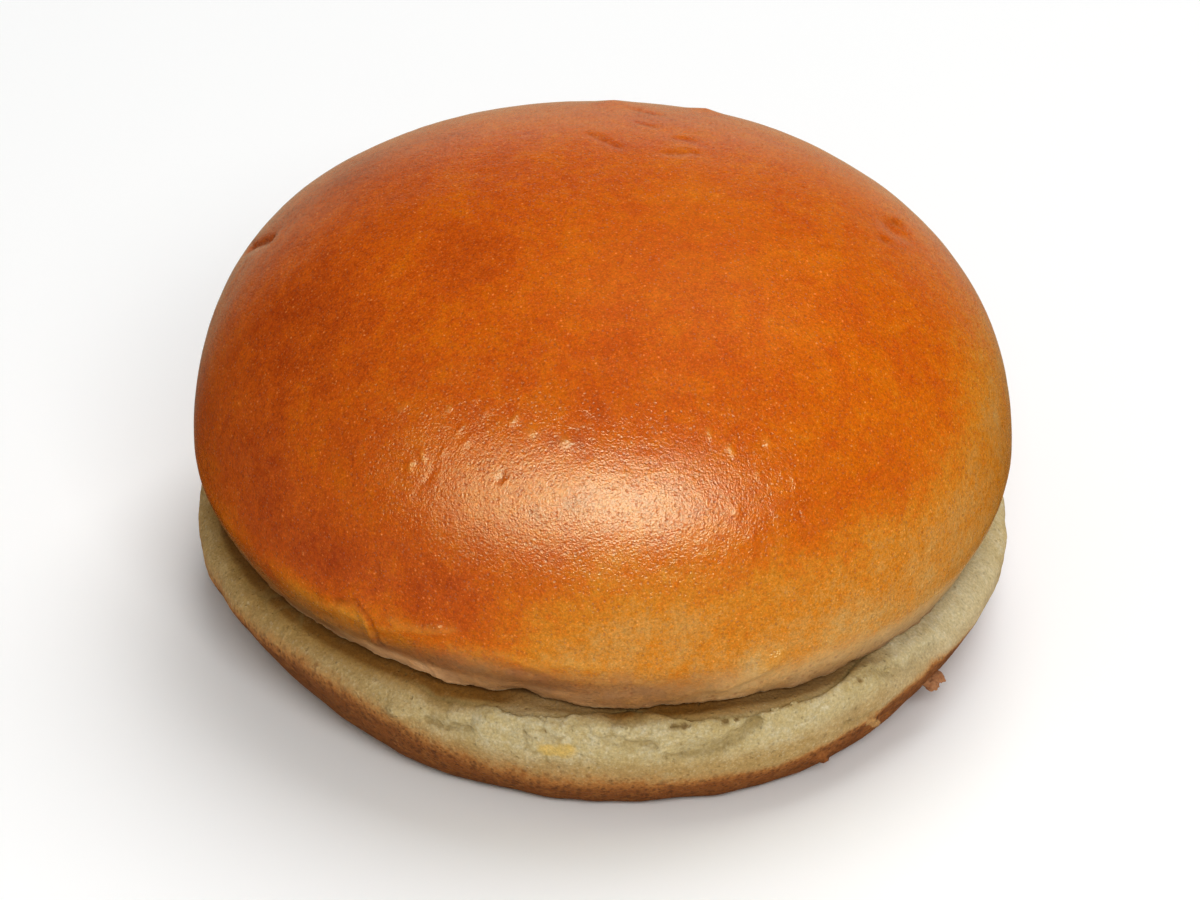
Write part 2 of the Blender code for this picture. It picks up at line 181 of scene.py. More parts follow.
# Browning of the crown: azimuth, height, half width, more or less
BROWN_PATCHES = (
    (204.0, 45.5, 11.0, 0.14), (219.5, 55.4, 5.0, 0.12), (213.0, 28.0, 8.0, 0.12), (236.0, 30.0, 5.0, 0.04),
    (160.0, 50.0, 14.0, 0.10), (292.0, 47.0, 7.0, 0.07), (318.0, 45.0, 9.0, -0.05),
    # At 272, 27 the crust is paler below the highlight: partly its own paler baking, partly a painted
    # reflection
    (229.0, 25.0, 6.0, 0.08), (249.0, 26.0, 6.0, 0.20), (227.0, 27.0, 5.0, 0.08), (272.0, 27.0, 7.5, -0.10),
    (290.5, 19.8, 1.8, -0.16), (253.6, 47.8, 1.1, 0.12), (265.6, 46.5, 1.6, 0.10), (261.5, 45.9, 1.0, 0.08),
    (269.7, 48.6, 1.0, 0.10), (265.4, 40.7, 0.9, 0.20), (267.3, 41.2, 0.8, 0.16), (260.3, 39.4, 0.9, 0.16),
    (283.7, 39.8, 0.9, 0.16), (293.3, 40.8, 1.0, 0.10),
)
YELLOW_FLECK = ((1.3, 1.0, ((262.4, 10.4), (265.4, 10.5))),)
CHIP = ((0.8, 1.0, ((308.6, 6.9), (311.2, 5.0))),)

# Crust crumb stuck to the heel's lower edge: where it is, and its size outward, along and up
CRUMB_AZIMUTH, CRUMB_REACH, CRUMB_HEIGHT = 323.2, 49.4, 6.0
CRUMB_SIZE, CRUMB_SHRINK = np.array((1.1, 0.85, 0.8)), 0.14
CRUMB_LUMPS = ((0.0, -0.4, 0.0), (0.2, 0.6, 0.3), (-0.2, 0.1, -0.6), (0.4, 0.0, 0.6))

# Small crumbs along the torn rim: how many, their form, and the ranges of their size and place
SMALL_CRUMBS, SMALL_CRUMB_FORM, SMALL_CRUMB_SIZE = 14, np.array((1.0, 1.6, 0.6)), (0.18, 0.34)
SMALL_CRUMB_AZIMUTH = (TORN_FROM - 6, TORN_TO + 3)
SMALL_CRUMB_REACH, SMALL_CRUMB_DROP = (48.4, 49.9), (0.3, 0.8)

# Tables by azimuth, read by round_table. Heights: where the crown's browning starts, the top of
# the unbrowned band over its lip, the top of the heel's brown rim, and of its darker lower part.
BROWNING_EDGE = (
    (10, 36), (60, 26), (120, 24), (200, 21), (225, 22), (246, 24), (258, 28), (270, 33),
    (315, 33), (335, 38), (350, 41),
)
BAND_EDGE = (
    (60, 17.5), (200, 16.5), (225, 16.9), (240, 18.8), (249, 20.6), (256, 21.0), (267, 20.2),
    (286, 19.2), (297, 18.7), (310, 18.8), (330, 18.0),
)
BASE_EDGE = (
    (20, 8.0), (90, 7.5), (150, 8.0), (197, 10.4), (210, 10.7), (222, 11.4), (232, 10.6),
    (241, 9.2), (247, 8.0), (253, 6.7), (260, 6.3), (270, 6.2), (283, 5.8), (294, 5.4),
    (308, 7.4), (314, 8.9), (321, 10.2), (328, 9.4), (340, 8.8),
)
# The darker lower part is partly painted shade
LOWER_EDGE = (
    (20, 12.4), (110, 11.8), (222, 12.6), (241, 12.4), (252, 10.9), (262, 10.4), (290, 10.4),
    (300, 11.6), (310, 13.0), (326, 12.8), (345, 12.2),
)

# Radius of the line where the heel's rim parts from the ledge behind it
PART_LINE = (
    (240, 46.3), (248, 47.5), (253, 47.3), (259, 49.0), (262, 49.0), (267, 47.9), (274, 47.1),
    (283, 50.2), (290, 50.8), (298, 50.5), (303, 50.0), (309, 47.6), (318, 46.6), (332, 46.0),
)

# How soft the brown rim's top is, how far the shade and the dark gap reach out from under the
# lip, how strong both are, and how lit and how shaded the lip's own side is
# The shade and the dark gap are painted shade and a painted shadow; the lip's side takes painted light and
# painted shade
BASE_SOFTNESS = ((30, 2.6), (120, 4.6), (240, 5.0), (256, 6.4), (272, 6.2), (290, 2.2), (330, 2.0))
SHADE_REACH = ((40, 1.2), (120, 2.2), (296, 2.4), (314, 1.0))
GAP_REACH = ((40, 0.7), (120, 1.1), (270, 1.1), (300, 0.6))
SHADE_SHARE = (
    (60, 0.4), (120, 0.9), (255, 1.0), (261, 0.48), (268, 0.52), (273, 1.0), (284, 1.0),
    (292, 0.65), (306, 0.60), (316, 0.12),
)
LIT_LIP = ((226, 0.0), (238, 0.9), (244, 1.0), (248, 0.5), (256, 0.35), (266, 0.35), (273, 0.0))
SHADED_LIP = (
    (155, 0.0), (190, 1.0), (246, 1.0), (252, 0.62), (262, 0.95), (272, 0.5), (284, 0.42),
    (289, 0.26), (294, 0.0),
)

# Stretches of the side, read by window: start and rise, end and fall
# PALE_LIP: paler on the right, partly less browned crust and partly painted light
PALE_LIP = (276, 14, 345, 25)
PALE_FLAP = (214, 8, 236.4, 1.2)
# SHADED_RIGHT: where the lip's right side takes painted shade
SHADED_RIGHT = (287, 10, 356, 20)
PARTED = (240, 5, 334, 8)
# KHAKI_SIDE: khaki on the left and at the back, partly the crumb's own olive tone and partly painted shade
# on the left
KHAKI_SIDE = (60, 60, 258, 40)

# The same, read by nearness: middle and reach
# SMOOTH is where the heel's side is smoother and also painted lighter, a painted light
WRINKLED_LEFT, PUCKERED, SMOOTH = (231, 13), (262, 34), (332, 20)

# How browned the crown is: least, the rise across its browning edge, the change with each mm to
# the right, and what the low side, the flap and the pale lip take away
# The slant to the right and the pale lip are partly browning and partly painted light, lighter on the right
LEAST_BAKE, BAKE_RISE, BAKE_SLANT = 0.36, 0.30, -0.0010
LOW_PALER, FLAP_PALER, LIP_PALER = 0.14, 0.15, 0.10

# Noise in the meshes, as layers of height, size and shift
DOME_NOISE = ((0.10, 11, 3.1), (0.045, 4.5, 8.2), (0.013, 1.7, 1.3), (0.007, 0.9, 5.4))
WRINKLE_NOISE, WRINKLE_STRETCH = ((1.0, 1.1, 2.6), (0.6, 0.6, 9.1)), (0.22, 0.22, 1.0)
LOW_WRINKLE_HEIGHT, LEFT_WRINKLE_HEIGHT = 0.08, 0.14
LIP_NOISE, LIP_LIFT = ((0.22, 1.9, 4.4), (0.16, 0.8, 6.1)), ((0.24, 1.3, 0.7), (0.16, 0.5, 2.9))
LIP_THINNER, RIM_THINNER = 0.06, 0.08
PUCKERS, PUCKER_STRETCH = ((0.16, 2.2, 15.3),), (1.0, 1.0, 0.3)
FINE_PUCKERS, FINE_PUCKER_STRETCH = ((0.08, 1.0, 16.9),), (1.0, 1.0, 0.4)
CUT_NOISE = ((0.16, 1.5, 7.7),)
HEEL_NOISE = ((0.20, 5.0, 2.2), (0.10, 2.4, 6.3))
CRUMB_NOISE = ((0.08, 1.1, 4.1), (0.06, 0.55, 8.8))
RIM_NOISE = ((0.16, 1.7, 1.9), (0.14, 0.7, 3.3))
CRUST_CRACK_DEPTH, CRUMB_CRACK_DEPTH, PART_DEPTH, PART_WIDTH = 0.035, 0.16, 0.30, 0.32

# Colours are linear
CRUST_RAMP = (
    (0.00, (0.60, 0.38, 0.15)), (0.18, (0.63, 0.295, 0.060)), (0.36, (0.66, 0.215, 0.010)),
    (0.54, (0.64, 0.135, 0.001)), (0.72, (0.56, 0.086, 0.002)), (0.90, (0.40, 0.048, 0.002)),
    (1.00, (0.27, 0.030, 0.002)),
)
# Blisters: their own paler crust, with a painted highlight on their tops
BLISTER_PALE_AND_GLINT = (0.84, 0.38, 0.05)
# Painted glints: light added to the crust in small specks
PAINTED_GLINT = (0.38, 0.21, 0.065)
# Dark specks of the crust; the same colour is painted shade in its creases and pinholes
DARK_SPECK_AND_SHADE = (0.26, 0.045, 0.006)
BAND_COLOUR = (0.42, 0.19, 0.066)
# The band's paler colour on the right, partly painted light
PALE_BAND_COLOUR = (0.66, 0.40, 0.155)
LIP_COLOUR = (0.38, 0.20, 0.090)
CRUMB_COLOUR = (0.70, 0.55, 0.33)
CREAM_RAMP = ((0.0, (0.46, 0.32, 0.11)), (0.5, (0.54, 0.415, 0.20)), (1.0, (0.66, 0.58, 0.39)))
# Khaki is the crumb's olive tone, darkened in part as painted shade for the left and lower side
KHAKI_RAMP = ((0.0, (0.33, 0.19, 0.06)), (0.5, (0.43, 0.265, 0.090)), (1.0, (0.53, 0.36, 0.15)))
BASE_RAMP = (
    (0.0, (0.48, 0.31, 0.13)), (0.4, (0.49, 0.235, 0.066)), (0.7, (0.42, 0.165, 0.040)),
    (1.0, (0.25, 0.078, 0.018)),
)
LEDGE_COLOUR = (0.42, 0.27, 0.115)
# Painted shade on the heel's top under the crown's lip
SHADE_COLOUR = (0.33, 0.17, 0.035)
# Painted shadow in the narrow gap under the crown's lip
GAP_SHADOW_COLOUR = (0.17, 0.060, 0.004)
# Painted shade on the side of the lip
LIP_SHADE = (0.50, 0.39, 0.34)
# Painted light on the lowest strip of the lip
LIT_LIP_COLOUR = (0.66, 0.36, 0.17)
# Painted shade in the heel's holes
HOLE_SHADE_COLOUR = (0.18, 0.095, 0.025)
CHIP_COLOUR = (0.56, 0.30, 0.10)
BURNT_SPECK = (0.085, 0.030, 0.012)
# Cream-white specks of the crumb; the same colour is painted light on the smooth right side
WHITE_SPECK_AND_LIGHT = (0.80, 0.73, 0.52)
FLECK_COLOUR = (0.66, 0.42, 0.10)
# Painted shade in creases, cracks and pores and along the part line
CREASE_SHADE_COLOUR = (0.27, 0.18, 0.060)
STUCK_COLOUR = (0.36, 0.135, 0.055)
FLOOR_COLOUR = (0.98, 0.98, 0.98)

# Roughness, specular level and the gloss's tint
CRUST_ROUGHNESS, CRUST_SPECULAR, CRUST_GLOSS_TINT = 0.21, 0.50, (1.0, 0.97, 0.80)
PALE_ROUGHNESS, PALE_SPECULAR, PALE_GLOSS_TINT = 0.86, 0.08, (1.0, 1.0, 1.0)
FLOOR_ROUGHNESS = 0.9

# Noise of the crown's material, as layers of size, height and shift
BAKE_LUMPS = (
    (24, 0.050, 1.0), (8, 0.070, 2.0), (2.6, 0.070, 3.0), (0.9, 0.070, 4.0), (0.4, 0.045, 12.0),
    (0.22, 0.050, 18.0),
)
CRUST_GRAIN = ((0.36, 0.20, 5.0), (0.2, 0.22, 6.0))
# Bright grain above BRIGHT_FROM makes painted glints
BRIGHT_GRAIN, BRIGHT_FROM = ((0.26, 1.0, 15.0),), 0.42
BAND_SHARE, BAND_LUMPS = 0.74, ((2.2, 0.22, 7.0), (0.6, 0.10, 17.0))
BAND_MOTTLE = ((1.3, 0.10, 25.0), (0.5, 0.14, 26.0))
# LIT_SHARE and LIT_LUMPS: how much painted light the lip's lowest strip takes
LIT_SHARE, LIT_LUMPS = 0.66, ((1.6, 0.30, 23.0), (0.6, 0.16, 24.0))
CRUST_ROUGH_LUMPS, BAND_ROUGHER, PINHOLE_ROUGHER = ((3.0, 0.03, 8.0),), 0.34, 0.08
CRUST_BUMP = ((1.4, 0.010, 1.0), (0.6, 0.008, 2.0), (0.30, 0.014, 3.0), (0.19, 0.014, 13.0))
BAND_BUMP, PINHOLE_DEPTH = ((0.5, 0.03, 4.0),), 0.030

# Noise of the heel's material. The fluff's layers are size, shift, share in the colour, and height.
FLUFF = ((1.7, 2.0, 0.16, 0.04), (0.8, 1.0, 0.18, 0.045), (0.36, 7.0, 0.20, 0.04))
PATCH_LUMPS, PALE_LUMPS, FLECK_LUMPS = ((5.0, 0.20, 1.0),), ((6.0, 0.10, 14.0),), ((0.9, 0.25, 9.0),)
BASE_LUMPS = ((2.4, 0.08, 3.0), (1.2, 0.08, 11.0), (0.6, 0.10, 4.0), (0.28, 0.10, 8.0))
HEEL_GRAIN = ((0.40, 0.15, 5.0), (0.21, 0.14, 6.0))
HEEL_ROUGH_LUMPS, BASE_SMOOTHER = ((2.0, 0.05, 6.0),), 0.3
PORE_DEPTH, BURNT_DEPTH = 0.12, 0.10

# Specks: size of their cells, share of the cells that hold one, width, shift
# The first of these specks are painted glints; the dark ones are the crust's own
GLINT_SPECKS, DARK_SPECKS = (0.8, 0.22, 0.22, 1.0), (1.7, 0.18, 0.15, 9.0)
PINHOLES, BAND_DOTS = (0.55, 0.5, 0.42, 27.0), (0.8, 0.4, 0.40, 4.0)
WHITE_SPECKS = ((0.75, 0.45, 0.34, 11.0), (0.38, 0.5, 0.36, 16.0))
BURNT_SPECKS = ((0.95, 0.5, 0.50, 21.0), (0.50, 0.45, 0.55, 26.0))
PORES = (0.9, 0.5, 0.24, 3.0)

# What the masks tint: mask, share, colour
# Blisters get their paler crust and a painted highlight; creases get painted shade
CRUST_TINTS = (("blister", 0.26, BLISTER_PALE_AND_GLINT), ("crease", 0.50, DARK_SPECK_AND_SHADE))
LIP_TINTS = (("lip", 0.55, LIP_COLOUR),)
LEDGE_TINTS = (("ledge", 0.75, LEDGE_COLOUR),)
# Painted shade and painted shadow under the lip, and painted shade along the part line, in cracks and in
# holes
HEEL_TINTS = (
    ("shade", 0.75, SHADE_COLOUR), ("gap", 0.92, GAP_SHADOW_COLOUR), ("part", 0.75, CREASE_SHADE_COLOUR),
    ("crack", 0.40, CREASE_SHADE_COLOUR), ("hole", 0.85, HOLE_SHADE_COLOUR),
)
# Painted shade in the heel's creases
CREASE_TINTS = (("crease", 0.55, CREASE_SHADE_COLOUR),)
STUCK_TINTS = (("stuck", 0.9, STUCK_COLOUR),)

CAMERA_TARGET = (-0.25, -0.85, 20.76)
CAMERA_ELEVATION, CAMERA_DISTANCE, CAMERA_LENS, CAMERA_SENSOR = 32.0, 700.0, 171.5, 36.0

# Softboxes: name, direction, distance and size in metres, watts, tint, and whether gloss or only
# the matt surface sees them. The dome mirrors gloss and core at the photo's highlight.
WHITE = (1.0, 1.0, 1.0)
SOFTBOXES = (
    ("key", (0.158, -0.762, 0.626), 0.9, (0.46, 0.22), 3.6, WHITE, False),
    ("overhead", (0.25, 0.42, 0.86), 1.6, (1.2, 1.2), 17.0, WHITE, False),
    ("gloss", (-0.13, -0.795, 0.600), 0.9, (1.35, 0.50), 16.6, (0.84, 1.0, 0.62), True),
    ("core", (0.03, -0.795, 0.600), 0.9, (0.60, 0.24), 4.9, (0.50, 0.92, 1.0), True),
    ("sheen", (0.0, 0.985, 0.17), 1.5, (0.7, 0.35), 0.30, WHITE, True),
)

# Gloss sees a pale backdrop behind the bun, from this far to +Y and below this height
SKY_COLOUR, BACKDROP_COLOUR, DARKNESS = (0.30, 0.30, 0.30), (0.50, 0.50, 0.33), (0.0, 0.0, 0.0)
BACKDROP_EDGE, BACKDROP_FULL, BACKDROP_TOP, BACKDROP_LOW = 0.79, 0.92, 0.30, -0.05
FLOOR_REACH = 4.0


def clamp(share):
    return np.clip(share, 0.0, 1.0)


def ease(share):
    """0 below 0, 1 above 1, and a smooth rise between them."""
    share = clamp(share)
    return share * share * (3 - 2 * share)


def above(value, start, width):
    """0 up to start, and 1 once past it by the width."""
    return ease((value - start) / width)


def below(value, end, width):
    """0 from end on, and 1 where short of it by the width."""
    return ease((end - value) / width)


def window(value, start, rise, end, fall):
    """1 between start and end, with soft ends inside them."""
    return above(value, start, rise) * below(value, end, fall)


def round_table(azimuth, table):
    """The value at an azimuth from a closed table of azimuths and values."""
    return np.interp(azimuth, *np.transpose(table), period=360)


def nearness(azimuth, middle, reach):
    """1 at the middle azimuth, falling to nothing a few reaches away."""
    off = (azimuth - middle + 180) % 360 - 180
    return np.exp(-((off / reach) ** 2))


def cosine(degrees):
    return np.cos(np.radians(degrees))


def wave_sum(waves, azimuth):
    return sum(height * cosine(lobes * (azimuth - crest)) for lobes, height, crest in waves)


def swing_sum(swings, azimuth):
    return sum(swing * nearness(azimuth, middle, reach) for middle, reach, swing in swings)


def front_fade(azimuth):
    """1 at the front, BACK_SHARE at the back."""
    return BACK_SHARE + (1 - BACK_SHARE) * (1 + cosine(azimuth - FRONT)) / 2


def torn_share(azimuth):
    """1 along the torn stretch of the heel's edge, 0 away from it."""
    middle, reach = (TORN_FROM + TORN_TO) / 2, (TORN_TO - TORN_FROM) / 2
    outside = np.abs((azimuth - middle + 180) % 360 - 180) - reach
    return 1 - ease(outside / TORN_SOFT + 0.5)


def superellipse(turn, power):
    """Cosine and sine of a quarter turn, squared off by a superellipse's power."""
    return max(math.cos(turn), 0.0) ** (2 / power), max(math.sin(turn), 0.0) ** (2 / power)


LATTICE_SIDE = 64
LATTICE = np.random.default_rng(7).uniform(-1, 1, (LATTICE_SIDE,) * 3)


def noise(points, size, shift=0.0):
    """Smooth noise from -1 to 1 with lumps of about this size. Another shift gives another noise."""
    spot = points / size + shift
    cell = np.floor(spot).astype(int)
    share = ease(spot - cell)
    total = np.zeros(len(points))
    for corner in np.ndindex(2, 2, 2):
        weight = np.prod(np.where(np.array(corner, bool), share, 1 - share), axis=1)
        total += weight * LATTICE[tuple(((cell + corner) % LATTICE_SIDE).T)]
    return total


def at(azimuth, radius, height):
    turn = np.radians(azimuth)
    return np.stack(np.broadcast_arrays(radius * np.cos(turn), radius * np.sin(turn), height), -1)


def crown_place(azimuth, radius, height):
    """Where a point of the turned crown goes, before its relief."""
    under = clamp((WIDEST_HEIGHT - height) / (WIDEST_HEIGHT - CUT_HEIGHT))
    out = wave_sum(CROWN_WAVES, azimuth) + swing_sum(CROWN_SWINGS, azimuth)
    out = out + under**LIP_WAVE_RISE * wave_sum(LIP_WAVES, azimuth) * front_fade(azimuth)
    down = 0.0
    for middle, reach, swing, drop in LIP_SWINGS:
        near = nearness(azimuth, middle, reach) * under ** (2 * LIP_WAVE_RISE)
        out = out + near * swing
        down = down + near * drop
    outer = np.minimum(radius / LIP_RADIUS, 1.0)
    return at(azimuth, radius + out * outer, height - down * outer**LIP_DROOP_EDGE)


def heel_place(azimuth, radius, height):
    """Where a point of the turned heel goes, before its relief."""
    outer = np.minimum(radius / HEEL_RADIUS, 1.0)
    torn = torn_share(azimuth)
    upper = clamp((height - HEEL_WIDEST_HEIGHT) / (CUT_HEIGHT - HEEL_WIDEST_HEIGHT))
    lower = clamp(1 - height / HEEL_WIDEST_HEIGHT)
    toward_edge = np.maximum(radius - SHOULDER_FLAT, 0.0) / (HEEL_RADIUS - SHOULDER_FLAT)
    height = height - (1 - torn) * SHOULDER_DROP * toward_edge**SHOULDER_POWER * upper
    waves = wave_sum(HEEL_WAVES, azimuth) * front_fade(azimuth)
    ledge_end = round_table(azimuth, PART_LINE) - waves
    into_ledge = ease((radius - LEDGE_INNER) / LEDGE_SLOPE)
    out_of_ledge = ease((radius - ledge_end) / LEDGE_RISE + 0.5)
    on_top = ease(upper * 4 - 3)
    height = height - torn * LEDGE_DEPTH * into_ledge * (1 - out_of_ledge) * on_top
    ragged = sum(
        share * np.sin(np.radians(lobes * (azimuth - crest))) for lobes, share, crest in RAGGED_WAVES
    )
    height = height + torn * RAGGED_HEIGHT * (ragged - 1) * out_of_ledge * on_top
    out = waves + swing_sum(BASE_SWINGS, azimuth) * lower
    return at(azimuth, radius + out * outer, height)


def spread(first, last, rows):
    """rows values after first, ending at last."""
    return [first + (last - first) * row / rows for row in range(1, rows + 1)]


def crown_profile():
    """(radius, height, steps) down the crown and in along its cut face, both ends on the axis."""
    points = []
    for row in range(DOME_ROWS + 1):
        up, out = superellipse(math.pi / 2 * row / DOME_ROWS, DOME_SQUARENESS)
        radius = WIDEST_RADIUS * out
        coarser = next((times_fewer for limit, times_fewer in DOME_COARSER if radius < limit), 1)
        height = WIDEST_HEIGHT + (TOTAL_HEIGHT - WIDEST_HEIGHT) * up
        points.append((radius, height, CROWN_STEPS // coarser))
    for share in spread(0, 1, UNDERCUT_ROWS):
        radius = WIDEST_RADIUS - (WIDEST_RADIUS - LIP_RADIUS) * share**UNDERCUT_POWER
        height = WIDEST_HEIGHT - (WIDEST_HEIGHT - CROWN_BOTTOM - LIP_ROUND) * share
        points.append((radius, height, CROWN_STEPS))
    for turn in LIP_TURNS:
        out, down = LIP_ROUND * math.cos(math.radians(turn)), LIP_ROUND * math.sin(math.radians(turn))
        points.append((LIP_RADIUS - LIP_ROUND + out, CROWN_BOTTOM + LIP_ROUND - down, CROWN_STEPS))
    cut_face = [(radius, CROWN_STEPS) for radius in spread(LIP_RADIUS - LIP_ROUND, CUT_COARSE, 4)]
    cut_face += [(radius, CROWN_STEPS // 4) for radius in spread(CUT_COARSE, CUT_COARSEST, 16)]
    cut_face += [(radius, CROWN_STEPS // 16) for radius in spread(CUT_COARSEST, 0, 6)]
    return points + [(radius, CROWN_BOTTOM, steps) for radius, steps in cut_face]


def heel_profile():
    """(radius, height, steps) out along the heel's cut face, down its side and in to the middle."""
    shoulder_start = HEEL_RADIUS - SHOULDER_ROUND
    points = [(0.0, HEEL_TOP, 1)]
    points += [(radius, HEEL_TOP, HEEL_STEPS // 16) for radius in spread(0, CUT_COARSEST, 6)]
    points += [(radius, HEEL_TOP, HEEL_STEPS // 4) for radius in spread(CUT_COARSEST, CUT_COARSE, 20)]
    points += [(radius, HEEL_TOP, HEEL_STEPS) for radius in spread(CUT_COARSE, shoulder_start, 24)]
    for turn in spread(0, 90, 8):
        angle = math.radians(turn)
        radius = shoulder_start + SHOULDER_ROUND * math.sin(angle)
        points.append((radius, HEEL_TOP - SHOULDER_ROUND * (1 - math.cos(angle)), HEEL_STEPS))
    for height in spread(HEEL_TOP - SHOULDER_ROUND, HEEL_WIDEST_HEIGHT, 14):
        points.append((HEEL_RADIUS, height, HEEL_STEPS))
    for turn in spread(0, 90, 26):
        out, down = superellipse(math.radians(turn), BASE_SQUARENESS)
        radius = BASE_RADIUS + (HEEL_RADIUS - BASE_RADIUS) * out
        points.append((radius, HEEL_WIDEST_HEIGHT * (1 - down), HEEL_STEPS))
    points += [(radius, 0.0, HEEL_STEPS // 2) for radius in spread(BASE_RADIUS, BASE_COARSE, 4)]
    points += [(radius, 0.0, HEEL_STEPS // 16) for radius in spread(BASE_COARSE, BASE_COARSEST, 8)]
    points.append((0.0, 0.0, 1))
    return points


def ring_faces(upper, lower):
    """Faces between two rings of vertex numbers, with normals out where the profile runs down."""
    if len(upper) == 1:
        return [(upper[0], here, there) for here, there in zip(lower, lower[1:] + lower[:1])]
    if len(lower) == 1:
        return [(here, lower[0], there) for here, there in zip(upper, upper[1:] + upper[:1])]
    if len(upper) == len(lower):
        return list(zip(upper, lower, lower[1:] + lower[:1], upper[1:] + upper[:1]))
    few, many = sorted((upper, lower), key=len)
    ratio = len(many) // len(few)
    fans = []
    for step, here in enumerate(few):
        there = few[(step + 1) % len(few)]
        fine = [many[(step * ratio + k) % len(many)] for k in range(ratio + 1)]
        fans += [(here, fine[k], fine[k + 1]) for k in range(ratio // 2)]
        fans.append((here, fine[ratio // 2], there))
        fans += [(there, fine[k], fine[k + 1]) for k in range(ratio // 2, ratio)]
    return [fan[::-1] for fan in fans] if many is upper else fans


def turned_grid(profile):
    """Azimuth, radius and height of each vertex of a turned profile, and the faces between them."""
    azimuth, radius, height, rings = [], [], [], []
    first = 0
    for ring_radius, ring_height, steps in profile:
        steps = 1 if ring_radius == 0 else steps
        turn = np.arange(steps) * 360.0 / steps
        azimuth.append(turn - math.degrees(CROWDING) * np.sin(np.radians(turn - FRONT)))
        radius.append(np.full(steps, ring_radius))
        height.append(np.full(steps, ring_height))
        rings.append(list(range(first, first + steps)))
        first += steps
    faces = []
    for upper, lower in zip(rings, rings[1:]):
        faces += ring_faces(upper, lower)
    return np.concatenate(azimuth) % 360, np.concatenate(radius), np.concatenate(height), faces


def vertex_normals(points, faces):
    normals = np.zeros_like(points)
    for size in (3, 4):
        corners = np.array([face for face in faces if len(face) == size])
        across = points[corners[:, 2]] - points[corners[:, 0]]
        other = points[corners[:, -1]] - points[corners[:, 1]]
        for column in corners.T:
            np.add.at(normals, column, np.cross(across, other))
    return normals / np.linalg.norm(normals, axis=1, keepdims=True)


def surface_point(place, profile, azimuth, height):
    """The point at this azimuth and height on the outer side of a turned and waved profile."""
    for (upper, top, _), (lower, bottom, _) in zip(profile, profile[1:]):
        if top >= height >= bottom and top > bottom:
            share = (top - height) / (top - bottom)
            return place(azimuth, upper + (lower - upper) * share, height)


def distance_to_path(points, path):
    nearest = np.linalg.norm(points - path[0], axis=1)
    for start, end in zip(path, path[1:]):
        along = end - start
        share = clamp((points - start) @ along / (along @ along))
        gap = np.linalg.norm(points - start - share[:, None] * along, axis=1)
        nearest = np.minimum(nearest, gap)
    return nearest


def marks(points, place, profile, spots, folds):
    """(depth, how near each point lies to it, from 0 to 1) for each spot and fold."""
    routes = [(reach, depth, ((azimuth, height),)) for azimuth, height, reach, depth in spots]
    result = []
    for reach, depth, route in routes + list(folds):
        path = [surface_point(place, profile, azimuth, height) for azimuth, height in route]
        result.append((depth, np.exp(-((distance_to_path(points, path) / reach) ** 2))))
    return result


def depths(found):
    """The relief that these marks make together."""
    return sum(depth * near for depth, near in found)


def nearby(found, lower_than=np.inf):
    """How near each point lies to those of the marks whose depth is lower than this."""
    return sum(near for depth, near in found if depth < lower_than)


def layered(points, layers, folded=False):
    """Noise in layers of height, size and shift. Folded, it is nowhere below 0."""
    waves = [(height, noise(points, size, shift)) for height, size, shift in layers]
    return sum(height * (np.abs(wave) if folded else wave) for height, wave in waves)


def wandering(points, reach, size):
    """The points moved about by noise, so that marks measured from them come out uneven."""
    moves = []
    for shift in (1.1, 2.2, 3.3):
        moves.append(noise(points, size, shift) + 0.6 * noise(points, 0.4 * size, shift + 5))
    return points + reach * np.stack(moves, -1)


def cracks(points, size, width, shift):
    """1 along thin wandering lines, in some places only."""
    line = np.exp(-((noise(points, size, shift) / width) ** 2))
    return line * ease(2.5 * noise(points, 2.6 * size, shift + 3))


def raise_relief(points, height, core_height, fade):
    """Moves the points outward from a core on the axis."""
    outward = points - np.array((0.0, 0.0, core_height))
    outward /= np.linalg.norm(outward, axis=1, keepdims=True)
    return points + outward * (height * fade)[:, None]


def crown_masks(points, azimuth, radius, level, profile, fine, lip, cut):
    """How browned, shaded, creased and so on each point of the crown is, by name."""
    above_cut = level - CROWN_BOTTOM
    outside_lip = above(radius, 45.8, 0.6) * above(above_cut, 0, 0.02)
    browned = ease((level - round_table(azimuth, BROWNING_EDGE)) / 15 + 0.5)
    flap = window(azimuth, *PALE_FLAP) * below(level, 23.8, 2.4) * above(level, 15, 2)
    pale_lip = window(azimuth, *PALE_LIP)
    bake = LEAST_BAKE + BAKE_RISE * browned + BAKE_SLANT * points[:, 0]
    bake -= LOW_PALER * below(level, 21, 6) + FLAP_PALER * flap
    bake -= LIP_PALER * pale_lip * below(level, 27, 6)
    bake += depths(marks(points, crown_place, profile, BROWN_PATCHES, ()))
    band_edge = round_table(azimuth, BAND_EDGE) + layered(points, ((0.9, 3.0, 5.2),))
    # Painted light on the lip's lowest strip, and painted shade on its side at the left and right
    lit = round_table(azimuth, LIT_LIP) * below(above_cut, 3.4, 1.6) * outside_lip
    shaded = round_table(azimuth, SHADED_LIP) * below(level, 22.6, 4.4) * above(above_cut, 0, 1.0)
    shaded_right = window(azimuth, *SHADED_RIGHT) * below(above_cut, 4.4, 3.4)
    # Creases, which the material darkens with painted shade
    creases = [near * min(-3 * depth, 1) for depth, near in fine if depth < -0.2]
    return {
        "bake": bake,
        "band": ease((band_edge - level) / 4.8 + 0.5) * ~cut,
        "lip": lip * ~cut,
        "crumb": below(above_cut, 0.12, 0.1),
        # Raised blisters, painted paler with a painted highlight
        "blister": clamp(sum(near for depth, near in fine if depth > 0.13)),
        "crease": clamp(sum(creases)),
        "shaded": shaded * (1 - 0.8 * lit) + 0.7 * shaded_right,
        "lit": lit,
        "pale_lip": pale_lip,
        # Painted shadow along the lip's bottom edge
        "under": below(above_cut, 0.55, 0.45) * outside_lip,
    }


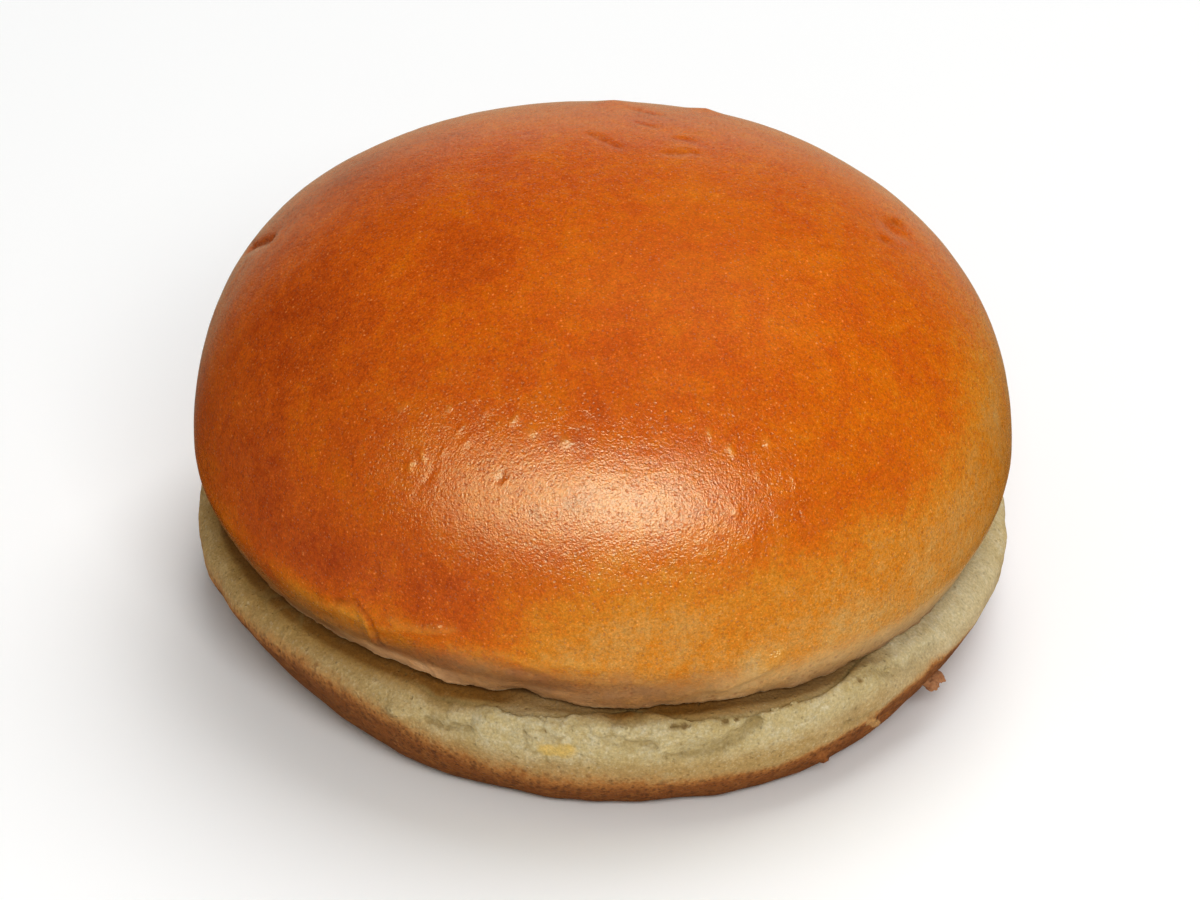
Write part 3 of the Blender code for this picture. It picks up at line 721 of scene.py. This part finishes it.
def crown_shape():
    """Points, faces and masks of the crown."""
    profile = crown_profile()
    azimuth, radius, level, faces = turned_grid(profile)
    points = crown_place(azimuth, radius, level)
    above_cut = level - CROWN_BOTTOM
    outside = above(above_cut, 0, 1.0)
    cut = (above_cut < 0.01) & (radius < LIP_RADIUS)

    coarse = marks(points, crown_place, profile, CROWN_SPOTS, CROWN_FOLDS)
    uneven = wandering(points, 0.2, 1.6)
    fine = marks(uneven, crown_place, profile, FINE_CROWN_SPOTS, FINE_CROWN_FOLDS)
    points = raise_relief(points, depths(coarse + fine), WIDEST_HEIGHT, outside)

    # Slow unevenness of the dome, orange peel, and wrinkles that run along the lower edge
    normals = vertex_normals(points, faces)
    left = nearness(azimuth, *WRINKLED_LEFT) * below(level, 23.4, 2)
    wrinkled = LOW_WRINKLE_HEIGHT * below(level, 25, 7) + LEFT_WRINKLE_HEIGHT * left
    rise = layered(points, DOME_NOISE)
    rise += outside * wrinkled * layered(points * WRINKLE_STRETCH, WRINKLE_NOISE)
    rise -= CRUST_CRACK_DEPTH * outside * cracks(points, 3.4, 0.09, 6.6)
    points = points + normals * (rise * ~cut)[:, None]

    # The lip is thin and ragged, and the cut face is open crumb
    lip = below(above_cut, 1.5, 1.3) * above(radius, 43.5, 2.0)
    ragged = lip * (layered(points, LIP_NOISE) - LIP_THINNER)
    puckered = below(above_cut, 5.0, 4.0) * outside * nearness(azimuth, *PUCKERED)
    puckers = layered(points * PUCKER_STRETCH, PUCKERS)
    puckers += layered(points * FINE_PUCKER_STRETCH, FINE_PUCKERS)
    points[:, :2] *= (1 + (ragged + puckered * puckers) / LIP_RADIUS)[:, None]
    points[:, 2] += lip * layered(points, LIP_LIFT, folded=True)
    points[:, 2] += cut * layered(points, CUT_NOISE, folded=True)
    masks = crown_masks(points, azimuth, radius, level, profile, fine, lip, cut)
    return points + TURN_CENTRE, faces, masks


def heel_shape():
    """Points, faces and masks of the heel."""
    profile = heel_profile()
    azimuth, radius, level, faces = turned_grid(profile)
    points = heel_place(azimuth, radius, level)
    coarse = marks(points, heel_place, profile, HEEL_SPOTS, HEEL_FOLDS)
    uneven = wandering(points, 0.35, 1.8)
    fine = marks(uneven, heel_place, profile, FINE_HEEL_SPOTS, FINE_HEEL_FOLDS)
    fade = above(level, 0.5, 1.0) * below(level, 14.55, 0.4)
    points = raise_relief(points, depths(coarse), HEEL_WIDEST_HEIGHT, fade)

    # Where the side is browned below, smooth at the right, and parted from the ledge at the front
    normals = vertex_normals(points, faces)
    tall, reach = points[:, 2], np.hypot(points[:, 0], points[:, 1])
    side = above(radius, 44, 2)
    browned = (round_table(azimuth, BASE_EDGE) - tall) / round_table(azimuth, BASE_SOFTNESS)
    base = ease(browned + 0.5) * below(level, 14.3, 0.4)
    smooth = nearness(azimuth, *SMOOTH)
    part_line = round_table(azimuth, PART_LINE) + layered(points, ((0.35, 1.8, 3.7),))
    parted = window(azimuth, *PARTED) * above(level, 12.0, 1.0)
    part = parted * np.exp(-(((reach - part_line) / PART_WIDTH) ** 2))
    ledge = parted * below(reach, part_line, 0.6)

    # Open crumb with cracks and holes, and a ragged rim
    open_crumb = (1 - base) * (1 - 0.7 * smooth) * (1 - 0.8 * ledge)
    rim = torn_share(azimuth) * above(radius, 47.6, 1.2) * above(level, 10.5, 2.0) * (1 - ledge)
    crack = open_crumb * side * cracks(points * (1.0, 1.0, 1.4), 2.4, 0.1, 12.1)
    holes = marks(wandering(points, 0.16, 0.9), heel_place, profile, HEEL_HOLES, ())
    rise = layered(points, HEEL_NOISE) + open_crumb * layered(points, CRUMB_NOISE)
    rise += rim * (layered(points, RIM_NOISE) - RIM_THINNER)
    rise += depths(fine + holes) - CRUMB_CRACK_DEPTH * crack - PART_DEPTH * part
    points = points + normals * (rise * side * above(level, 0, 0.8))[:, None]

    # How far out from under the crown's lip, for the painted shade and shadow there
    beyond_lip = reach - np.hypot(*crown_place(azimuth, LIP_RADIUS, CUT_HEIGHT)[:, :2].T)
    near_top = above(level, 11.5, 1.6) * round_table(azimuth, SHADE_SHARE)
    masks = {
        "base": base,
        "khaki": window(azimuth, *KHAKI_SIDE),
        # Darker towards the bottom, partly painted shade
        "lower": below(tall, round_table(azimuth, LOWER_EDGE), 3.2),
        # Creases, cracks and holes here, and the part line below, take painted shade in the material
        "crease": clamp(0.5 * nearby(coarse, 0) + nearby(fine, -0.31)),
        "crack": crack,
        "hole": above(nearby(holes), 0.25, 0.35),
        # Painted shadow in the gap under the lip
        "gap": below(beyond_lip, round_table(azimuth, GAP_REACH), 0.9) * near_top,
        "ledge": ledge,
        "part": part,
        # Painted shade on the heel's top under the lip
        "shade": below(beyond_lip, round_table(azimuth, SHADE_REACH), 1.6) * near_top,
        "chip": clamp(nearby(marks(uneven, heel_place, profile, (), CHIP))),
        "fleck": clamp(nearby(marks(uneven, heel_place, profile, (), YELLOW_FLECK))),
        # Smooth at the right, where the side is also painted lighter as painted light
        "smooth": smooth,
        "stuck": np.zeros(len(points)),
    }
    return points + TURN_CENTRE, faces, masks


def compass(azimuth):
    """Unit vectors outward, along the side and up at this azimuth."""
    turn = math.radians(azimuth)
    outward = (math.cos(turn), math.sin(turn), 0.0)
    along = (-math.sin(turn), math.cos(turn), 0.0)
    return np.array((outward, along, (0.0, 0.0, 1.0)))


def crumb_ball(middle, azimuth, size, lumpiness, rows, seed):
    """A lumpy crumb. Its size is outward, along the edge and up."""
    ball = bmesh.new()
    bmesh.ops.create_icosphere(ball, subdivisions=rows, radius=1.0)
    points = np.array([vert.co for vert in ball.verts])
    faces = [tuple(vert.index for vert in face.verts) for face in ball.faces]
    ball.free()
    grown = 1 + lumpiness * noise(points, 0.7, seed) + 0.5 * lumpiness * noise(points, 0.33, seed + 4)
    points = points * grown[:, None] * size
    return points @ compass(azimuth) + middle, faces


def add_crumbs(points, faces, masks):
    """The heel with the stuck crumb and the small ones that cling to its torn rim."""
    crumbs = []
    middle = at(CRUMB_AZIMUTH, CRUMB_REACH, CRUMB_HEIGHT) + TURN_CENTRE
    for number, lump in enumerate(CRUMB_LUMPS):
        spot = middle + np.array(lump) @ compass(CRUMB_AZIMUTH)
        size = CRUMB_SIZE * (1 - CRUMB_SHRINK * number)
        ball = crumb_ball(spot, CRUMB_AZIMUTH, size, lumpiness=0.45, rows=4, seed=2.5 + number)
        crumbs.append((*ball, 1.0))
    chance = np.random.default_rng(31)
    for number in range(SMALL_CRUMBS):
        azimuth = chance.uniform(*SMALL_CRUMB_AZIMUTH)
        radius = chance.uniform(*SMALL_CRUMB_REACH)
        height = HEEL_TOP - chance.uniform(*SMALL_CRUMB_DROP)
        spot = heel_place(azimuth, radius, height) + TURN_CENTRE
        size = SMALL_CRUMB_FORM * chance.uniform(*SMALL_CRUMB_SIZE)
        ball = crumb_ball(spot, azimuth, size, lumpiness=0.4, rows=3, seed=1.7 * number)
        crumbs.append((*ball, 0.0))
    for crumb_points, crumb_faces, stuck in crumbs:
        first = len(points)
        points = np.concatenate((points, crumb_points))
        faces = faces + [tuple(corner + first for corner in face) for face in crumb_faces]
        for name, values in masks.items():
            level = stuck if name == "stuck" else 0.0
            masks[name] = np.concatenate((values, np.full(len(crumb_points), level)))
    return points, faces, masks


def make_piece(name, shape, material, node):
    """A piece that stands in for a CAD node, kept inside that node's box."""
    points, faces, masks = shape
    lowest, highest = (np.array(corner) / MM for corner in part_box(node))
    points = np.clip(points, lowest, highest)
    mesh = bpy.data.meshes.new(name)
    mesh.from_pydata((points * MM).tolist(), [], faces)
    for label, values in masks.items():
        mesh.attributes.new(label, "FLOAT", "POINT").data.foreach_set("value", values.astype("f"))
    mesh.shade_smooth()
    mesh.materials.append(material)
    thing = bpy.data.objects.new(name, mesh)
    bpy.context.scene.collection.objects.link(thing)
    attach(thing, "root")
    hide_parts(node)


def add(tree, kind, inputs=(), **settings):
    """A new node. Its inputs are {socket name or number: value or socket}."""
    node = tree.nodes.new("ShaderNode" + kind)
    for name, setting in settings.items():
        setattr(node, name, setting)
    for key, value in dict(inputs).items():
        if isinstance(value, bpy.types.NodeSocket):
            tree.links.new(value, node.inputs[key])
        else:
            node.inputs[key].default_value = value
    return node


def calculate(tree, operation, *values):
    return add(tree, "Math", enumerate(values), operation=operation).outputs[0]


def total(tree, *values):
    result = values[0]
    for value in values[1:]:
        result = calculate(tree, "ADD", result, value)
    return result


def times(tree, *values):
    result = values[0]
    for value in values[1:]:
        result = calculate(tree, "MULTIPLY", result, value)
    return result


def blend(tree, share, first, second, blend_type="MIX"):
    first, second = ((*c, 1.0) if isinstance(c, tuple) else c for c in (first, second))
    inputs = {0: share, 6: first, 7: second}
    return add(tree, "Mix", inputs, data_type="RGBA", blend_type=blend_type).outputs[2]


def mask(tree, name):
    return add(tree, "Attribute", attribute_name=name).outputs["Fac"]


def between(tree, value, start, end):
    """0 up to start, 1 from end on, and even between them."""
    return add(tree, "MapRange", {0: value, 1: start, 2: end}).outputs[0]


def place_in(tree, size, shift):
    """Places on the piece, in units of this size in mm, moved along by the shift."""
    place = add(tree, "TexCoord").outputs["Object"]
    scale = (1 / (size * MM),) * 3
    return add(tree, "Mapping", {"Vector": place, "Scale": scale, "Location": (shift,) * 3}).outputs[0]


def lumps(tree, size, height, shift):
    """Procedural noise from about -height to height, with lumps of about this size in mm."""
    inputs = {"Vector": place_in(tree, size, shift), "Scale": 1.0, "Detail": 1.0, "Roughness": 0.5}
    wave = add(tree, "TexNoise", inputs).outputs[0]
    return calculate(tree, "MULTIPLY_ADD", wave, 3.2 * height, -1.6 * height)


def layers(tree, start, forms):
    """A start with layers of lumps on top, each given by size, height and shift."""
    return total(tree, start, *(lumps(tree, *form) for form in forms))


def specks(tree, size, share_of_cells, width, shift):
    """1 in small spots, one in some of the cells of this size in mm, and 0 between them."""
    cells = add(tree, "TexVoronoi", {"Vector": place_in(tree, size, shift), "Scale": 1.0})
    chosen = add(tree, "SeparateColor", {0: cells.outputs["Color"]}).outputs[0]
    near = between(tree, cells.outputs["Distance"], width, width * 0.4)
    return times(tree, near, calculate(tree, "LESS_THAN", chosen, share_of_cells))


def tinted(tree, colour, tints):
    """The colour with each mask's tint over it."""
    for name, share, tint in tints:
        colour = blend(tree, times(tree, mask(tree, name), share), colour, tint)
    return colour


def ramp(tree, share, stops):
    node = add(tree, "ValToRGB", {0: share})
    elements = node.color_ramp.elements
    while len(elements) < len(stops):
        elements.new(1.0)
    for element, (place, colour) in zip(elements, stops):
        element.position = place
        element.color = (*colour, 1.0)
    return node.outputs[0]


def finish_material(material, colour, roughness, bump, specular, tint):
    """Wires colour, roughness and bump height in mm to the shader."""
    tree = material.node_tree
    shader = tree.nodes["Principled BSDF"]
    shader.inputs["Specular IOR Level"].default_value = specular
    shader.inputs["Specular Tint"].default_value = (*tint, 1.0)
    normal = add(tree, "Bump", {"Strength": 1.0, "Distance": MM, "Height": bump}).outputs[0]
    tree.links.new(colour, shader.inputs["Base Color"])
    tree.links.new(roughness, shader.inputs["Roughness"])
    tree.links.new(normal, shader.inputs["Normal"])
    return material


def glazed_crust():
    material = bpy.data.materials.new("glazed_crust")
    material.use_nodes = True
    tree = material.node_tree

    # Baked crust with specks and painted glints, blisters with a painted highlight, and painted shade in
    # creases and pinholes
    colour = ramp(tree, layers(tree, mask(tree, "bake"), BAKE_LUMPS), CRUST_RAMP)
    colour = blend(tree, 1.0, colour, layers(tree, 1.0, CRUST_GRAIN), "MULTIPLY")
    # Painted glints: bright grain and specks that add light to the crust
    bright = calculate(tree, "MAXIMUM", layers(tree, -BRIGHT_FROM, BRIGHT_GRAIN), 0.0)
    colour = blend(tree, bright, colour, PAINTED_GLINT, "ADD")
    glints = times(tree, specks(tree, *GLINT_SPECKS), 0.6)
    colour = blend(tree, glints, colour, PAINTED_GLINT, "ADD")
    dark = times(tree, specks(tree, *DARK_SPECKS), 0.5)
    colour = blend(tree, dark, colour, DARK_SPECK_AND_SHADE)
    # Pinholes: small pits, darkened with painted shade
    pinholes = specks(tree, *PINHOLES)
    colour = blend(tree, times(tree, pinholes, 0.28), colour, DARK_SPECK_AND_SHADE)
    colour = tinted(tree, colour, CRUST_TINTS)

    # The unbrowned band over the lip, with painted light and painted shade on it
    band, lit = mask(tree, "band"), mask(tree, "lit")
    share = times(tree, band, layers(tree, BAND_SHARE, BAND_LUMPS))
    # Paler band on the right, partly painted light
    band_colour = blend(tree, mask(tree, "pale_lip"), BAND_COLOUR, PALE_BAND_COLOUR)
    colour = tinted(tree, blend(tree, share, colour, band_colour), LIP_TINTS)
    dots = times(tree, specks(tree, *BAND_DOTS), band, 0.4)
    colour = blend(tree, dots, colour, DARK_SPECK_AND_SHADE)
    # Painted shade on the lip's side
    colour = blend(tree, mask(tree, "shaded"), colour, LIP_SHADE, "MULTIPLY")
    mottled = total(tree, 1.0, times(tree, band, layers(tree, 0.0, BAND_MOTTLE)))
    colour = blend(tree, 1.0, colour, mottled, "MULTIPLY")
    # Painted light on the lip's lowest strip
    colour = blend(tree, times(tree, lit, layers(tree, LIT_SHARE, LIT_LUMPS)), colour, LIT_LIP_COLOUR)
    # Painted shadow along the lip's bottom edge, weaker where painted light is
    under = times(tree, mask(tree, "under"), total(tree, 0.6, times(tree, lit, -0.4)))
    colour = blend(tree, under, colour, GAP_SHADOW_COLOUR)
    colour = blend(tree, mask(tree, "crumb"), colour, CRUMB_COLOUR)

    roughness = total(
        tree,
        layers(tree, CRUST_ROUGHNESS, CRUST_ROUGH_LUMPS),
        times(tree, share, BAND_ROUGHER),
        times(tree, pinholes, PINHOLE_ROUGHER),
    )
    bump = total(
        tree,
        layers(tree, 0.0, CRUST_BUMP),
        times(tree, pinholes, -PINHOLE_DEPTH),
        times(tree, band, layers(tree, 0.0, BAND_BUMP)),
    )
    return finish_material(material, colour, roughness, bump, CRUST_SPECULAR, CRUST_GLOSS_TINT)


def pale_crust():
    material = bpy.data.materials.new("pale_crust")
    material.use_nodes = True
    tree = material.node_tree

    # Fluffy side, khaki below and on the left, partly painted shade, with the ledge and the marks of the
    # tear
    fluff = [lumps(tree, size, 1.0, shift) for size, shift, _, _ in FLUFF]
    fluffy = (times(tree, wave, share) for wave, (_, _, share, _) in zip(fluff, FLUFF))
    patchy = total(tree, layers(tree, 0.5, PATCH_LUMPS), *fluffy)
    # Khaki on the left and lower down: the crumb's olive tone and, in part, painted shade
    lower = times(tree, mask(tree, "lower"), 0.9)
    khaki = calculate(tree, "MAXIMUM", mask(tree, "khaki"), lower)
    colour = blend(tree, khaki, ramp(tree, patchy, CREAM_RAMP), ramp(tree, patchy, KHAKI_RAMP))
    colour = tinted(tree, colour, LEDGE_TINTS)
    white = total(tree, *(specks(tree, *form) for form in WHITE_SPECKS))
    colour = blend(tree, times(tree, white, 0.16), colour, WHITE_SPECK_AND_LIGHT)
    # Paler patches, and painted light on the smooth right side
    pale = layers(tree, times(tree, mask(tree, "smooth"), 0.24), PALE_LUMPS)
    # Painted shade and shadow under the lip, and painted shade in the part line, cracks and holes
    colour = tinted(tree, blend(tree, pale, colour, WHITE_SPECK_AND_LIGHT), HEEL_TINTS)
    fleck = between(tree, layers(tree, mask(tree, "fleck"), FLECK_LUMPS), 0.42, 0.85)
    colour = blend(tree, times(tree, fleck, 0.8), colour, FLECK_COLOUR)
    # Painted shade in the creases, and in the pores below
    colour = tinted(tree, colour, CREASE_TINTS)
    pores = specks(tree, *PORES)
    colour = blend(tree, times(tree, pores, 0.22), colour, CREASE_SHADE_COLOUR)

    # The brown rim with burnt specks, and the crust crumb
    browned = layers(tree, mask(tree, "base"), BASE_LUMPS)
    share = between(tree, browned, 0.06, 0.72)
    colour = blend(tree, share, colour, ramp(tree, browned, BASE_RAMP))
    dots = total(tree, *(specks(tree, *form) for form in BURNT_SPECKS))
    burnt = times(tree, calculate(tree, "MINIMUM", dots, 1.0), share, 0.5)
    colour = blend(tree, burnt, colour, BURNT_SPECK)
    chip = between(tree, mask(tree, "chip"), 0.45, 0.65)
    colour = blend(tree, times(tree, chip, 0.85), colour, CHIP_COLOUR)
    colour = tinted(tree, colour, STUCK_TINTS)
    colour = blend(tree, 1.0, colour, layers(tree, 1.0, HEEL_GRAIN), "MULTIPLY")

    smoother = times(tree, mask(tree, "base"), -BASE_SMOOTHER)
    roughness = layers(tree, total(tree, PALE_ROUGHNESS, smoother), HEEL_ROUGH_LUMPS)
    bump = total(
        tree,
        *(times(tree, wave, height) for wave, (_, _, _, height) in zip(fluff, FLUFF)),
        times(tree, pores, -PORE_DEPTH),
        times(tree, burnt, -BURNT_DEPTH),
    )
    return finish_material(material, colour, roughness, bump, PALE_SPECULAR, PALE_GLOSS_TINT)


def aim(thing, place, target):
    thing.location = place
    thing.rotation_euler = (Vector(target) - Vector(place)).to_track_quat("-Z", "Y").to_euler()


def softbox(name, direction, distance, size, watts, tint, for_gloss):
    """An area light that looks at the bun from this direction, for gloss alone or for the rest."""
    data = bpy.data.lights.new(name, "AREA")
    data.shape = "RECTANGLE"
    data.size, data.size_y = size
    data.energy = watts
    data.color = tint
    light = bpy.data.objects.new(name, data)
    light.visible_camera = False
    light.visible_diffuse = not for_gloss
    light.visible_glossy = for_gloss
    bpy.context.scene.collection.objects.link(light)
    middle = Vector((0.0, 0.0, 0.5 * TOTAL_HEIGHT * MM))
    aim(light, middle + Vector(direction).normalized() * distance, middle)


def hang_backdrop():
    """A grey sky for the matt surface. Gloss sees darkness, and a pale backdrop behind the bun."""
    world = bpy.data.worlds.new("studio")
    bpy.context.scene.world = world
    world.use_nodes = True
    world.cycles.sampling_method = "NONE"
    tree = world.node_tree
    direction = add(tree, "TexCoord").outputs["Generated"]
    parts = add(tree, "SeparateXYZ", {0: direction}).outputs
    behind = between(tree, parts[1], BACKDROP_EDGE, BACKDROP_FULL)
    low = between(tree, parts[2], BACKDROP_TOP, BACKDROP_LOW)
    backdrop = blend(tree, times(tree, behind, low), DARKNESS, BACKDROP_COLOUR)
    mirrored = add(tree, "LightPath").outputs["Is Glossy Ray"]
    seen = blend(tree, mirrored, SKY_COLOUR, backdrop)
    tree.links.new(seen, tree.nodes["Background"].inputs["Color"])


def lay_floor():
    mesh = bpy.data.meshes.new("floor")
    corners = [(-1, -1, 0), (1, -1, 0), (1, 1, 0), (-1, 1, 0)]
    mesh.from_pydata([Vector(corner) * FLOOR_REACH for corner in corners], [], [(0, 1, 2, 3)])
    paint = bpy.data.materials.new("floor")
    paint.use_nodes = True
    shader = paint.node_tree.nodes["Principled BSDF"]
    shader.inputs["Base Color"].default_value = (*FLOOR_COLOUR, 1)
    shader.inputs["Roughness"].default_value = FLOOR_ROUGHNESS
    mesh.materials.append(paint)
    floor = bpy.data.objects.new("floor", mesh)
    bpy.context.scene.collection.objects.link(floor)
    floor.visible_glossy = False


def place_camera():
    data = bpy.data.cameras.new("camera")
    data.sensor_width = CAMERA_SENSOR
    data.lens = CAMERA_LENS
    camera = bpy.data.objects.new("camera", data)
    bpy.context.scene.collection.objects.link(camera)
    rise = math.radians(CAMERA_ELEVATION)
    target = Vector(CAMERA_TARGET) * MM
    backward = Vector((0.0, -math.cos(rise), math.sin(rise)))
    aim(camera, target + backward * CAMERA_DISTANCE * MM, target)
    bpy.context.scene.camera = camera


place_camera()
for form in SOFTBOXES:
    softbox(*form)
hang_backdrop()
lay_floor()
make_piece("crown_crust", crown_shape(), glazed_crust(), "crown")
make_piece("heel_bread", add_crumbs(*heel_shape()), pale_crust(), "heel")
bpy.context.scene.view_settings.view_transform = "Standard"
